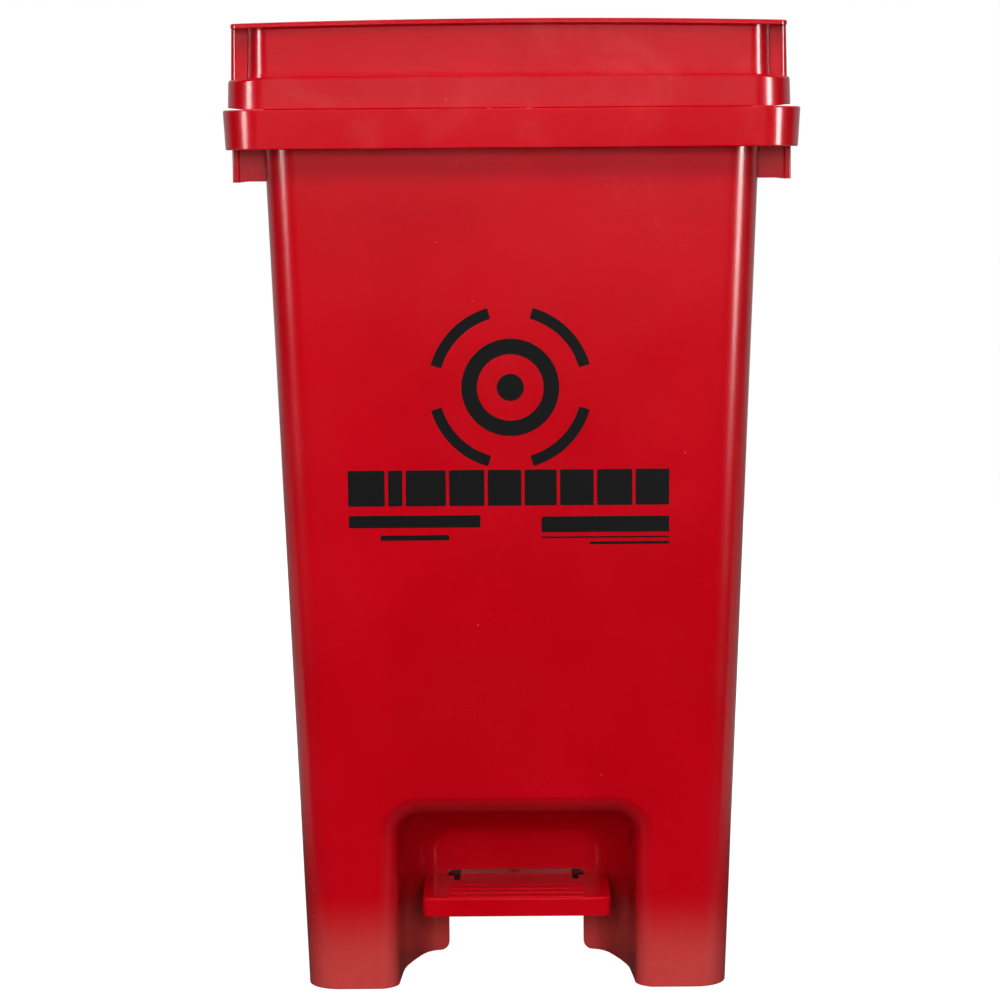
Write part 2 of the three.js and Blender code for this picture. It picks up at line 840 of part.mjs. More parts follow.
for (const [name, side] of Object.entries(sides)) {
  const pinClip = spanOf(side, hinge.spread - earFace, hinge.spread - earFace - clip.thickness);
  const bush = spanOf(side, webOuter + gap, axleRib.x - axleRib.halfThickness - gap);
  const ribFace = axleRib.x + axleRib.halfThickness + gap;
  const axleClip = spanOf(side, ribFace, ribFace + clip.thickness);
  const rodClip = spanOf(side, webOuter + gap, webOuter + gap + clip.thickness);
  addPart(`hinge_pin_${name}`, hingePin(side), zincSteel());
  addPart(
    `hinge_pin_clip_${name}`,
    pushClip(hinge.pinRadius, hinge.clipRadius, ...pinClip, hingeY, hinge.height),
    blackSteel(),
  );
  addPart(
    `pivot_bush_${name}`,
    pushClip(pivot.radius, pivot.bushRadius, ...bush, pivot.y, pivot.z),
    blackNylon(),
  );
  addPart(
    `axle_clip_${name}`,
    pushClip(pivot.radius, clip.radius, ...axleClip, pivot.y, pivot.z),
    blackSteel(),
  );
  addPart(
    `cross_rod_clip_${name}`,
    pushClip(pivot.radius, clip.radius, ...rodClip, liftY, crossZ),
    blackSteel(),
  );
  addPart(`pedal_arm_${name}`, pedalArm(side), blackSteel());
  addPart(`pedal_screw_${name}`, pedalScrewSolid(side), zincSteel());
}

for (const [level, z] of Object.entries(guide.heights)) {
  addPart(`rod_guide_${level}`, rodGuide(z), blackNylon());
  for (const [name, side] of Object.entries(sides)) {
    const guideScrew = headedScrewY(side * guide.screwOffset, z, guide.seat + guide.plate + 2 * gap, 10.2);
    addPart(`guide_screw_${level}_${name}`, guideScrew, zincSteel());
  }
}

export default bin;
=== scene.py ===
# Looks of a step-on waste bin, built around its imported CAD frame. Lengths below are in millimetres
# until a piece is made, and MM turns them into metres. +Z is up and -Y is the front.
import json
import math

import bmesh
import bpy
from mathutils import Matrix, Vector


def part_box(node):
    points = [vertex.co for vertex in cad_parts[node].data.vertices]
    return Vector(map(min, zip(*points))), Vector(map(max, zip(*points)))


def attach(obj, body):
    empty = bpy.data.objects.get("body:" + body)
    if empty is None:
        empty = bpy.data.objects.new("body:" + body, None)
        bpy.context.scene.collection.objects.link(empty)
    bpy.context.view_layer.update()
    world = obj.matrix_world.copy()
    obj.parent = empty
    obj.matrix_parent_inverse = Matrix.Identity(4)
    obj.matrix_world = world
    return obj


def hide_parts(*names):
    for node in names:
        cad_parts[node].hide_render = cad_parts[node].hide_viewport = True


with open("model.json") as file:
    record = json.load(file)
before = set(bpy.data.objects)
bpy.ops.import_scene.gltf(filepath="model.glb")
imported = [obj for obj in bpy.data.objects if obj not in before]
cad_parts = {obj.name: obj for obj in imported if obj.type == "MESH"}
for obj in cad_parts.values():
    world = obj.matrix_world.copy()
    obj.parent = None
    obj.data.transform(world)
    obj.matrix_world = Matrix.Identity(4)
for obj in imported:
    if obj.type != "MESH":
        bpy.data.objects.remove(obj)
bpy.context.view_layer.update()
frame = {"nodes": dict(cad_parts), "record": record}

MM = 0.001
BODY, LID, PEDAL, ROD = "bin", "lid_assembly", "pedal_lever", "rod_assembly"


def box_mm(node):
    """Lowest and highest corner of a CAD node, in millimetres."""
    low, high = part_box(node)
    return Vector(low) / MM, Vector(high) / MM


def joint(name):
    return next(j for j in frame["record"]["behaviour"]["joints"] if j["name"] == name)


# Sizes taken from the frame
bin_low, bin_high = box_mm("bin_body")
lid_low, lid_high = box_mm("lid")
tread_low, tread_high = box_mm("pedal_tread")
hinge_y, hinge_z = (value / MM for value in joint("lid_hinge")["pos_m"][1:])
pivot_y, pivot_z = (value / MM for value in joint("pedal_tilt")["pos_m"][1:])

WALL = 3.0
CORNER_STEPS = 14
RIM_HALF = bin_high.x
RIM_FRONT = bin_low.y
RIM_BACK = RIM_FRONT + 300
RIM_BOTTOM, RIM_TOP, RIM_RADIUS, RIM_DRAFT = 523.2, 547.0, 25, 1.4
BASE_HALF, TOP_HALF, BASE_INSET, TOP_INSET, BODY_RADIUS = 131, 150, 50, 23, 20
FLOOR = 72
DRAFT = (TOP_INSET - BASE_INSET) / RIM_BOTTOM
RIM_RIBS = (-130, -80, 0, 80, 130)
FOOT_HEIGHT, FOOT_WALL = 5, 6
CLEARANCE = 0.35
PIN_HOLE, AXLE_HOLE, SCREW_HOLE = 3 + CLEARANCE, 4 + CLEARANCE, 2 + CLEARANCE
HINGE_SPREAD, EAR_OFFSET, EAR_RADIUS, EAR_HALF_THICKNESS = 95, 14.5, 9, 2.5
KNUCKLE_RADIUS, KNUCKLE_HALF_LENGTH = 8, 11.4
PIN_REACH = 130
AXLE_REACH = 64
LIFT_SLOT_HALF = 15.5


# ---------------------------------------------------------------- mesh helpers

def new_object(name, mesh):
    piece = bpy.data.objects.new(name, mesh)
    bpy.context.scene.collection.objects.link(piece)
    return piece


def mesh_object(name, points, faces):
    mesh = bpy.data.meshes.new(name)
    mesh.from_pydata([Vector(point) * MM for point in points], [], faces)
    mesh.update()
    return new_object(name, mesh)


def arc(u, v, radius, start, end, steps):
    """Points (u, v) on an arc, its angles in degrees."""
    turns = (math.radians(start + (end - start) * step / steps) for step in range(steps + 1))
    return [(u + radius * math.cos(turn), v + radius * math.sin(turn)) for turn in turns]


def plan(half, front, back, radius, bow=0.0, steps=CORNER_STEPS):
    """A rounded rectangle in plan, whose front edge may bow forward in the middle."""
    reach = half - radius
    points = arc(reach, back - radius, radius, 0, 90, steps)
    points += arc(-reach, back - radius, radius, 90, 180, steps)
    points += arc(-reach, front + radius, radius, 180, 270, steps)
    if bow:
        bow_steps = 28
        for step in range(1, bow_steps):
            x = reach * (2 * step / bow_steps - 1)
            points.append((x, front - bow * (1 - (x / reach) ** 2)))
    points += arc(reach, front + radius, radius, 270, 360, steps)
    return points


def loft(name, rings):
    """A closed solid through rings of 3-D points, each ring counter-clockwise about the way it goes."""
    count = len(rings[0])
    points = [point for ring in rings for point in ring]
    faces = [tuple(range(count - 1, -1, -1))]
    for level in range(len(rings) - 1):
        low = level * count
        for i in range(count):
            j = (i + 1) % count
            faces.append((low + i, low + j, low + count + j, low + count + i))
    last = (len(rings) - 1) * count
    faces.append(tuple(range(last, last + count)))
    return mesh_object(name, points, faces)


def upright(name, levels):
    """A loft of plan outlines: levels is a list of (height, outline)."""
    return loft(name, [[(x, y, z) for x, y in outline] for z, outline in levels])


def along_y(name, sections):
    """A loft of front outlines from back to front: sections is a list of (y or y by height, outline)."""
    rings = []
    for place, outline in sections:
        rings.append([(x, place(z) if callable(place) else place, z) for x, z in outline])
    return loft(name, rings)


def along_x(name, outline, x0, x1, edge=0.0):
    """A plate cut to a side outline of (y, z) points, with its two faces' edges eased."""
    if not edge:
        return loft(name, [[(x, y, z) for y, z in outline] for x in (x0, x1)])
    middle = (sum(y for y, z in outline) / len(outline), sum(z for y, z in outline) / len(outline))
    rings = []
    for x, ease in ((x0, edge), (x0 + edge * 0.4, edge * 0.35), (x0 + edge, 0),
                    (x1 - edge, 0), (x1 - edge * 0.4, edge * 0.35), (x1, edge)):
        rings.append([(x, *pulled(y, z, middle, ease)) for y, z in outline])
    return loft(name, rings)


def pulled(u, v, middle, distance):
    """The point (u, v) moved that distance towards the middle."""
    offset = Vector((middle[0] - u, middle[1] - v))
    step = offset.normalized() * min(distance, offset.length * 0.5)
    return u + step.x, v + step.y


def block(name, x0, x1, y0, y1, z0, z1, edge=0.0):
    """A box with rounded vertical edges, or square where edge is 0."""
    if not edge:
        outline = [(x1, y0), (x1, y1), (x0, y1), (x0, y0)]
        return upright(name, [(z0, outline), (z1, outline)])
    outline = [(x1 - edge, y1 - edge, 0), (x0 + edge, y1 - edge, 90),
               (x0 + edge, y0 + edge, 180), (x1 - edge, y0 + edge, 270)]
    points = [p for x, y, start in outline for p in arc(x, y, edge, start, start + 90, 5)]
    return upright(name, [(z0, points), (z1, points)])


def boolean(piece, operation, tools):
    """The piece joined with, or cut by, the tools, which are used up."""
    for tool in tools:
        modifier = piece.modifiers.new("cut", "BOOLEAN")
        modifier.operation = operation
        modifier.solver = "MANIFOLD"
        modifier.object = tool
    graph = bpy.context.evaluated_depsgraph_get()
    result = bpy.data.meshes.new_from_object(piece.evaluated_get(graph))
    old = piece.data
    piece.modifiers.clear()
    piece.data = result
    bpy.data.meshes.remove(old)
    for tool in tools:
        mesh = tool.data
        bpy.data.objects.remove(tool)
        bpy.data.meshes.remove(mesh)
    return piece


def join(piece, *tools):
    return boolean(piece, "UNION", tools)


def cut(piece, *tools):
    return boolean(piece, "DIFFERENCE", tools)


def finish_piece(piece, body, nodes, material, bevel=0.0, sharp=32):
    """Shades the piece, eases its edges, gives it its material, ties it to its body and hides the CAD nodes
    it stands for.
    """
    mesh = piece.data
    tidy = bmesh.new()
    tidy.from_mesh(mesh)
    bmesh.ops.remove_doubles(tidy, verts=tidy.verts, dist=2e-6)
    bmesh.ops.dissolve_limit(
        tidy, angle_limit=math.radians(0.05), verts=tidy.verts, edges=tidy.edges)
    tidy.to_mesh(mesh)
    tidy.free()
    if bevel:
        ease = piece.modifiers.new("ease", "BEVEL")
        ease.width = bevel * MM
        ease.segments = 2
        ease.limit_method = "ANGLE"
        ease.angle_limit = math.radians(sharp)
        ease.harden_normals = False
    mesh.polygons.foreach_set("use_smooth", [True] * len(mesh.polygons))
    if not bevel:
        mesh.set_sharp_from_angle(angle=math.radians(sharp))
    weigh = piece.modifiers.new("weigh", "WEIGHTED_NORMAL")
    weigh.keep_sharp = True
    weigh.weight = 70
    mesh.materials.clear()
    mesh.materials.append(material)
    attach(piece, body)
    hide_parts(*nodes)
    return piece


# ---------------------------------------------------------------- materials

class Graph:
    """A short way to write a material's nodes."""

    def __init__(self, name):
        self.material = bpy.data.materials.new(name)
        self.material.use_nodes = True
        self.tree = self.material.node_tree
        self.shader = self.tree.nodes["Principled BSDF"]
        self.place = self.node("ShaderNodeTexCoord").outputs["Object"]

    def node(self, kind, settings=None, **inputs):
        made = self.tree.nodes.new(kind)
        for key, value in (settings or {}).items():
            setattr(made, key, value)
        for key, value in inputs.items():
            self.feed(made.inputs[key.replace("_", " ")], value)
        return made

    def feed(self, socket, value):
        if isinstance(value, bpy.types.NodeSocket):
            self.tree.links.new(value, socket)
        else:
            socket.default_value = value

    def stretch(self, scale, turn=(0, 0, 0)):
        mapped = self.node("ShaderNodeMapping", Vector=self.place, Scale=scale, Rotation=turn)
        return mapped.outputs[0]

    def noise(self, scale, detail=2.0, rough=0.5, place=None, twist=0.0):
        made = self.node("ShaderNodeTexNoise", Vector=place or self.place, Scale=scale,
                         Detail=detail, Roughness=rough, Distortion=twist)
        return made.outputs["Fac"]

    def ramp(self, value, low, high, bottom=0.0, top=1.0, smooth=True):
        made = self.node("ShaderNodeMapRange",
                         {"interpolation_type": "SMOOTHSTEP" if smooth else "LINEAR"})
        for key, number in (("Value", value), ("From Min", low), ("From Max", high),
                            ("To Min", bottom), ("To Max", top)):
            self.feed(made.inputs[key], number)
        return made.outputs["Result"]

    def math(self, operation, a, b=0.0, clamp=False):
        made = self.node("ShaderNodeMath", {"operation": operation, "use_clamp": clamp})
        self.feed(made.inputs[0], a)
        self.feed(made.inputs[1], b)
        return made.outputs[0]

    def mix(self, amount, a, b):
        made = self.node("ShaderNodeMix", {"data_type": "RGBA"})
        self.feed(made.inputs["Factor"], amount)
        for socket, value in ((made.inputs[6], a), (made.inputs[7], b)):
            self.feed(socket, value)
        return made.outputs[2]

    def bump(self, height, distance, strength=1.0, below=None):
        made = self.node("ShaderNodeBump", Height=height, Distance=distance, Strength=strength)
        if below:
            self.feed(made.inputs["Normal"], below)
        return made.outputs[0]

    def set(self, **inputs):
        for key, value in inputs.items():
            self.feed(self.shader.inputs[key.replace("_", " ")], value)
        return self.material


def scratch_mask(graph, turn, length_scale, width_scale, low, high):
    """Thin broken lines that run one way, as a mask."""
    lines = graph.noise(1.0, 2.0, 0.6, graph.stretch((length_scale, length_scale, width_scale), turn))
    return graph.ramp(lines, low, high)


def red_polypropylene(name, tone=1.0, scuffs=1.0, polished_above=0.0, floor_reflection=0.0):
    """Red plastic, smoother above a height in metres than below it, with a painted reflection of the white
    floor near its base.
    """
    graph = Graph(name)
    height = graph.node("ShaderNodeSeparateXYZ", Vector=graph.place).outputs["Z"]
    dull = graph.ramp(height, polished_above - 0.006, polished_above, 0.05, 0.0)
    clouds = graph.noise(7.0, 4.0, 0.6)
    flow = graph.noise(3.0, 3.0, 0.55, graph.stretch((5.0, 5.0, 1.1)))
    colour = graph.mix(
        graph.ramp(clouds, 0.35, 0.7),
        (0.57 * tone, 0.0003, 0.0070, 1), (0.64 * tone, 0.0010, 0.0098, 1))
    colour = graph.mix(graph.ramp(flow, 0.45, 0.75, 0, 0.35), colour, (0.66 * tone, 0.0015, 0.0100, 1))
    level = scratch_mask(graph, (0.12, 0.05, 0.0), 6.0, 420.0, 0.70, 0.78)
    steep = scratch_mask(graph, (1.25, 0.5, 0.2), 9.0, 380.0, 0.71, 0.79)
    patches = graph.ramp(graph.noise(4.2, 5.0, 0.65, None, 0.4), 0.55, 0.72)
    marks = graph.math("MULTIPLY", graph.math("MAXIMUM", level, steep), patches)
    specks = graph.node("ShaderNodeTexVoronoi", {"feature": "F1"}, Vector=graph.place, Scale=85.0,
                        Randomness=1.0)
    dots = graph.ramp(specks.outputs["Distance"], 0.035, 0.055, 1.0, 0.0)
    rare = graph.ramp(graph.noise(40.0, 1.0), 0.60, 0.66)
    dots = graph.math("MULTIPLY", dots, rare)
    haze = graph.math("MULTIPLY", patches, graph.ramp(graph.noise(240.0, 3.0, 0.7), 0.45, 0.8))
    colour = graph.mix(graph.math("MULTIPLY", marks, 0.30 * scuffs), colour, (0.78, 0.28, 0.24, 1))
    colour = graph.mix(graph.math("MULTIPLY", haze, 0.03 * scuffs), colour, (0.75, 0.16, 0.14, 1))
    handled = graph.math("MULTIPLY", graph.ramp(height, 0.520, 0.526, 0.0, 0.08 * scuffs),
                         graph.ramp(graph.noise(16.0, 5.0, 0.62, None, 0.6), 0.48, 0.70))
    colour = graph.mix(handled, colour, (0.78, 0.20, 0.17, 1))
    colour = graph.mix(graph.math("MULTIPLY", dots, 0.45), colour, (0.72, 0.20, 0.17, 1))
    # Paler towards the floor: a painted reflection of the white floor, mottled by noise.
    floor_reflection_mask = graph.math("MULTIPLY", graph.ramp(height, 0.012, 0.062, floor_reflection, 0.0),
                         graph.ramp(graph.noise(18.0, 4.0, 0.6), 0.2, 0.7, 0.8, 1.0))
    colour = graph.mix(floor_reflection_mask, colour, (0.70, 0.10, 0.088, 1))
    grain = graph.noise(1500.0, 2.0, 0.55)
    rough = graph.ramp(graph.noise(11.0, 4.0, 0.6), 0.3, 0.7, 0.13, 0.19)
    rough = graph.math("ADD", rough, dull)
    rough = graph.math("ADD", rough, graph.math("MULTIPLY", grain, 0.06))
    rough = graph.math("ADD", rough, graph.math("MULTIPLY", marks, 0.18), clamp=True)
    relief = graph.bump(graph.noise(5.5, 2.0, 0.5), 0.0009, 0.5)
    relief = graph.bump(grain, 0.000016, 0.55, relief)
    relief = graph.bump(marks, 0.00002, 0.5, relief)
    graph.shader.inputs["IOR"].default_value = 1.49
    return graph.set(Base_Color=colour, Roughness=rough, Normal=relief)


def black_ink(name):
    graph = Graph(name)
    worn = graph.ramp(graph.noise(900.0, 3.0, 0.6), 0.62, 0.8, 0, 0.5)
    colour = graph.mix(worn, (0.0022, 0.0020, 0.0022, 1), (0.02, 0.006, 0.006, 1))
    relief = graph.bump(graph.noise(1500.0, 2.0), 0.00004, 0.5)
    return graph.set(Base_Color=colour, Roughness=graph.ramp(worn, 0, 0.5, 0.5, 0.62), Normal=relief)


def black_steel(name):
    graph = Graph(name)
    wear = graph.ramp(graph.noise(120.0, 5.0, 0.7), 0.6, 0.75)
    fine = graph.noise(1100.0, 2.0, 0.6)
    colour = graph.mix(graph.math("MULTIPLY", wear, 0.35), (0.011, 0.011, 0.012, 1), (0.06, 0.055, 0.05, 1))
    rough = graph.ramp(fine, 0.3, 0.7, 0.38, 0.52)
    relief = graph.bump(fine, 0.00006, 0.6)
    graph.shader.inputs["Metallic"].default_value = 0.15
    return graph.set(Base_Color=colour, Roughness=rough, Normal=relief)


def zinc_steel(name):
    graph = Graph(name)
    spangle = graph.noise(260.0, 3.0, 0.6)
    drawn = graph.noise(1.0, 2.0, 0.6, graph.stretch((2500.0, 2500.0, 40.0)))
    dull = graph.ramp(graph.noise(60.0, 4.0, 0.65), 0.5, 0.75)
    colour = graph.mix(graph.ramp(spangle, 0.35, 0.65), (0.50, 0.51, 0.52, 1), (0.66, 0.67, 0.68, 1))
    colour = graph.mix(graph.math("MULTIPLY", dull, 0.4), colour, (0.40, 0.385, 0.36, 1))
    rough = graph.math("ADD", graph.ramp(spangle, 0.3, 0.7, 0.24, 0.36), graph.math("MULTIPLY", dull, 0.16))
    relief = graph.bump(drawn, 0.00003, 0.5)
    graph.shader.inputs["Metallic"].default_value = 1.0
    return graph.set(Base_Color=colour, Roughness=rough, Normal=relief)


def black_nylon(name):
    graph = Graph(name)
    grain = graph.noise(1300.0, 3.0, 0.6)
    bloom = graph.ramp(graph.noise(45.0, 4.0, 0.6), 0.5, 0.75, 0, 0.5)
    colour = graph.mix(bloom, (0.013, 0.013, 0.014, 1), (0.032, 0.031, 0.03, 1))
    relief = graph.bump(grain, 0.00008, 0.6)
    return graph.set(Base_Color=colour, Roughness=graph.ramp(grain, 0.3, 0.7, 0.42, 0.58), Normal=relief)


# The body's plastic gets a painted reflection of the white floor near its base.
RED = red_polypropylene("red_polypropylene", polished_above=0.523, floor_reflection=0.62)
RED_LID = red_polypropylene("red_polypropylene_lid", 0.92, 0.8)
RED_TREAD = red_polypropylene("red_polypropylene_tread", 1.05, 0.8)
INK = black_ink("black_print")
STEEL = black_steel("black_coated_steel")
ZINC = zinc_steel("zinc_plated_steel")
NYLON = black_nylon("black_nylon")


# ---------------------------------------------------------------- bin body

def inset_at(z):
    """How far the front and rear walls stand in from the rim at a height."""
    return BASE_INSET + DRAFT * z


def body_outline(z, inset, radius=None):
    half = BASE_HALF + (TOP_HALF - BASE_HALF) * z / RIM_BOTTOM
    step = inset_at(z) + inset
    corner = radius or BODY_RADIUS - inset * 0.8
    return plan(half - inset, RIM_FRONT + step, RIM_BACK - step, corner)


def edge_levels(z, radius, steps, top):
    """(height, inset) pairs that round an edge at height z, going up."""
    turns = [math.radians(90 * step / steps) for step in range(steps + 1)]
    if top:
        return [(z - radius + radius * math.sin(t), radius * (1 - math.cos(t))) for t in turns]
    return [(z + radius - radius * math.cos(t), radius * (1 - math.sin(t))) for t in turns]


def body_shell():
    levels = [(z, body_outline(z, inset)) for z, inset in edge_levels(0, 1.0, 3, False)]
    levels += [(z, body_outline(z, 0)) for z in (RIM_BOTTOM / 2, RIM_TOP - 1)]
    return upright("bin_moulding", levels)


def body_inside():
    floor = FLOOR + WALL
    levels = [(z, body_outline(z, WALL + inset)) for z, inset in edge_levels(floor, 7, 5, False)]
    levels.append((RIM_TOP - 1.2, body_outline(RIM_TOP - 1.2, WALL)))
    levels.append((RIM_TOP + 0.2, body_outline(RIM_TOP, WALL - 1.3)))
    levels.append((RIM_TOP + 4, body_outline(RIM_TOP, WALL - 1.3)))
    return upright("inside", levels)


def body_underside():
    levels = [(-4, body_outline(0, FOOT_WALL)), (FOOT_HEIGHT, body_outline(FOOT_HEIGHT, FOOT_WALL)),
              (FOOT_HEIGHT + 3, body_outline(FOOT_HEIGHT + 3, WALL)),
              (FLOOR - 4, body_outline(FLOOR - 4, WALL)),
              (FLOOR - 1, body_outline(FLOOR - 1, WALL + 1)), (FLOOR, body_outline(FLOOR, WALL + 4))]
    return upright("underside", levels)


def rim_outline(z, inset):
    taper = RIM_DRAFT * (RIM_TOP - z) / (RIM_TOP - RIM_BOTTOM)
    step = inset + taper
    return plan(RIM_HALF - step, RIM_FRONT + step, RIM_BACK - step, RIM_RADIUS - step)


def rim_solid():
    levels = [(z, rim_outline(z, inset)) for z, inset in edge_levels(RIM_BOTTOM, 0.9, 3, False)]
    levels += [(z, rim_outline(z, inset)) for z, inset in edge_levels(RIM_TOP, 1.2, 4, True)]
    inner = [(RIM_BOTTOM - 2, rim_outline(RIM_BOTTOM, 2.2)), (RIM_BOTTOM + 1, rim_outline(RIM_BOTTOM, 2.6)),
             (RIM_TOP - WALL - 2, rim_outline(RIM_TOP - 5, WALL)),
             (RIM_TOP - WALL, rim_outline(RIM_TOP, 5.5))]
    return cut(upright("rim", levels), upright("rim_inside", inner))


RECESS_BACK = -9
FACE_HEIGHT = 60
THROAT_HALF, THROAT_TOP, THROAT_RADIUS = 74.2, 109.6, 14
MOUTH_DEPTH, MOUTH_HALF, MOUTH_TOP = 15, 87, 123.6


def arch(half, top, radius, foot=-6):
    """A front outline with straight sides, a flat roof and round top corners."""
    points = [(-half, foot), (half, foot)]
    points += arc(half - radius, top - radius, radius, 0, 90, 12)
    points += arc(-half + radius, top - radius, radius, 90, 180, 12)
    return points


def front_face_y(z):
    return RIM_FRONT + inset_at(z)


def recess_sections(grow):
    """(run forward, share of the way, half width, top, corner radius) from the back to the mouth."""
    depth = RECESS_BACK - front_face_y(FACE_HEIGHT)
    inner_run = depth - MOUTH_DEPTH
    sections = [(0, 50, 78, 13), (0.8, 52.6, 80.4, 14), (2.6, 55.2, 82.8, 15), (5.6, 57.8, 85.2, 16),
                (9.6, 60.2, 88, 17), (17, 63, 92, 18), (30, 67.2, 98, 19), (42, 70.4, 102.6, 20),
                (50, 71.8, 105, 20), (58, 72.5, 106.6, 19), (70, 73.2, 108, 17),
                (inner_run - 8, 73.8, 109, 15)]
    fillet_steps, sweep = 10, math.radians(74)
    for step in range(fillet_steps + 1):
        turn = sweep * step / fillet_steps
        outward = (1 - math.cos(turn)) / (1 - math.cos(sweep))
        spread = (MOUTH_HALF - THROAT_HALF) * outward
        climb = (MOUTH_TOP - THROAT_TOP) * outward
        run = depth - MOUTH_DEPTH * (1 - math.sin(turn) / math.sin(sweep))
        sections.append((run, THROAT_HALF + spread, THROAT_TOP + climb, THROAT_RADIUS + spread))
    sections.append((depth + 14, MOUTH_HALF, MOUTH_TOP, THROAT_RADIUS + MOUTH_HALF - THROAT_HALF))
    return [(run, min(run / depth, 1), half + grow, top + grow, radius + grow)
            for run, half, top, radius in sections]


def recess_solid(name, grow):
    sections = []
    for index, (run, share, half, top, radius) in enumerate(recess_sections(grow)):
        back = RECESS_BACK + (grow if index == 0 else 0) - run

        def place(z, back=back, share=share):
            return back + DRAFT * (z - FACE_HEIGHT) * share
        sections.append((place, arch(half, top, radius)))
    return along_y(name, sections)


def rim_ribs():
    ribs = []
    for x in RIM_RIBS:
        ribs.append(block("rib", x - 1.25, x + 1.25, RIM_FRONT + 2.5, RIM_FRONT + TOP_INSET + 1,
                          RIM_BOTTOM + 5, RIM_TOP - 1.5))
        if x:
            ribs.append(block("rib", x - 1.25, x + 1.25, RIM_BACK - TOP_INSET - 1, RIM_BACK - 2.5,
                              RIM_BOTTOM + 5, RIM_TOP - 1.5))
    return ribs


GRIP_FRONT, GRIP_BACK = RIM_FRONT + 52, RIM_BACK - 52
GRIP_HALF, GRIP_BOTTOM, GRIP_WALL = 170.4, 503.5, 4.4


def grips():
    """The side skirts below the rim, each closed by a fin at both ends."""
    made = []
    for side in (-1, 1):
        skirt = sorted((side * GRIP_HALF, side * (GRIP_HALF - GRIP_WALL)))
        fin = sorted((side * (GRIP_HALF - 0.8), side * (TOP_HALF - 1.5)))
        made.append(block("skirt", *skirt, GRIP_FRONT, GRIP_BACK, GRIP_BOTTOM, RIM_TOP - 2, 1.2))
        made.append(block("fin", *fin, GRIP_FRONT + 1.2, GRIP_FRONT + 4.2, GRIP_BOTTOM + 0.6, RIM_TOP - 2))
        made.append(block("fin", *fin, GRIP_BACK - 4.2, GRIP_BACK - 1.2, GRIP_BOTTOM + 0.6, RIM_TOP - 2))
    return made


def round_bar_x(name, radius, x0, x1, y, z, steps=48):
    circle = arc(y, z, radius, 0, 360, steps)[:-1]
    return loft(name, [[(x, u, v) for u, v in circle] for x in (x0, x1)])


def round_bar_y(name, radius, y0, y1, x, z, steps=48):
    circle = arc(x, z, radius, 360, 0, steps)[:-1]
    return loft(name, [[(u, y, v) for u, v in circle] for y in (y0, y1)])


def hinge_ears():
    outline = [(RIM_BACK - 1.5, RIM_BOTTOM + 2), (RIM_BACK + 5, RIM_BOTTOM + 2)]
    outline += arc(hinge_y, hinge_z, EAR_RADIUS, 0, 180, 24)
    outline += [(RIM_BACK, RIM_TOP - 1), (RIM_BACK - 1.5, RIM_TOP - 1)]
    ears = []
    for side in (-1, 1):
        for offset in (-EAR_OFFSET, EAR_OFFSET):
            x = side * HINGE_SPREAD + offset
            ears.append(along_x("ear", outline, x - EAR_HALF_THICKNESS, x + EAR_HALF_THICKNESS, 0.7))
    return ears


def axle_ribs():
    station, half = 55, 3
    outline = [(RECESS_BACK + 1, FLOOR + 1), (RECESS_BACK + 1, pivot_z - 6), (pivot_y - 3, pivot_z - 9),
               (pivot_y + 5, pivot_z - 9), (pivot_y + 10, pivot_z - 4), (pivot_y + 24, FLOOR + 1)]
    return [along_x("axle_rib", outline, side * station - half, side * station + half, 0.6)
            for side in (-1, 1)]


GUIDE_SEAT, GUIDE_SCREW_X, GUIDE_BOSS, GUIDE_HEIGHTS = 118, 17, 6.5, (400, 180)


def guide_bosses():
    bosses, holes = [], []
    for z in GUIDE_HEIGHTS:
        for side in (-1, 1):
            wall_y = RIM_BACK - inset_at(z)
            x = side * GUIDE_SCREW_X
            bosses.append(round_bar_y("boss", GUIDE_BOSS, wall_y - WALL / 2, GUIDE_SEAT, x, z))
            holes.append(round_bar_y("boss_hole", SCREW_HOLE, GUIDE_SEAT - 7.5, GUIDE_SEAT + 5, x, z))
    return bosses, holes


def pedal_slot():
    """The opening through the back wall of the foot recess, flared at its lower corners."""
    outline = [(-52, -6), (52, -6), (52, 0)] + arc(50, 6, 6, 270, 180, 8)
    outline += arc(42, 51.7, 2, 0, 90, 4) + arc(-42, 51.7, 2, 90, 180, 4) + arc(-50, 6, 6, 0, -90, 8)
    outline.append((-52, 0))
    return along_y("slot", [(RECESS_BACK + WALL + 2, outline), (RECESS_BACK - 3, outline)])


def make_bin_body():
    shell = join(body_shell(), rim_solid(), *rim_ribs(), *grips())
    walls = recess_solid("recess_walls", WALL)
    spare = new_object("recess_walls_too", walls.data.copy())
    inside = cut(body_inside(), walls)
    underside = cut(body_underside(), spare)
    shell = cut(shell, inside, underside, recess_solid("recess", 0))
    bosses, holes = guide_bosses()
    shell = join(shell, *hinge_ears(), *axle_ribs(), *bosses)
    wall_back = RIM_BACK - TOP_INSET
    cuts = [
        pedal_slot(),
        block("notch", -50, 50, wall_back - 36, wall_back, -6, 69),
        block("lift_slot", -LIFT_SLOT_HALF, LIFT_SLOT_HALF, wall_back + 1.6, RIM_BACK - WALL - 0.2,
              RIM_TOP - 5, RIM_TOP + 5),
        round_bar_x("pin_hole", PIN_HOLE, -PIN_REACH, PIN_REACH, hinge_y, hinge_z),
        round_bar_x("axle_hole", AXLE_HOLE, -AXLE_REACH, AXLE_REACH, pivot_y, pivot_z),
    ]
    shell = cut(shell, *cuts, *holes)
    return finish_piece(shell, BODY, ["bin_body"], RED, bevel=0.45)


# ---------------------------------------------------------------- lid

LID_FRONT = RIM_FRONT + 5
LID_BACK = RIM_BACK - 3
LID_BOW = 2
LID_SHIFT = -1.4
LID_CROWN = 2.1
BAND_BOTTOM, BAND_TOP = RIM_TOP + 0.12, 566.9
FLANGE = 3.0
LID_TOP = lid_high.z
BAND_HALF, UPPER_HALF, EAR_HALF, FLANGE_HALF = lid_high.x, 157, 167.2, 165.7
UPPER_STEP, EAR_SETBACK = 7, 20


def shifted(outline):
    """The lid sits a little to the left of the rim, within the play of its hinge pins."""
    return [(x + LID_SHIFT, y) for x, y in outline]


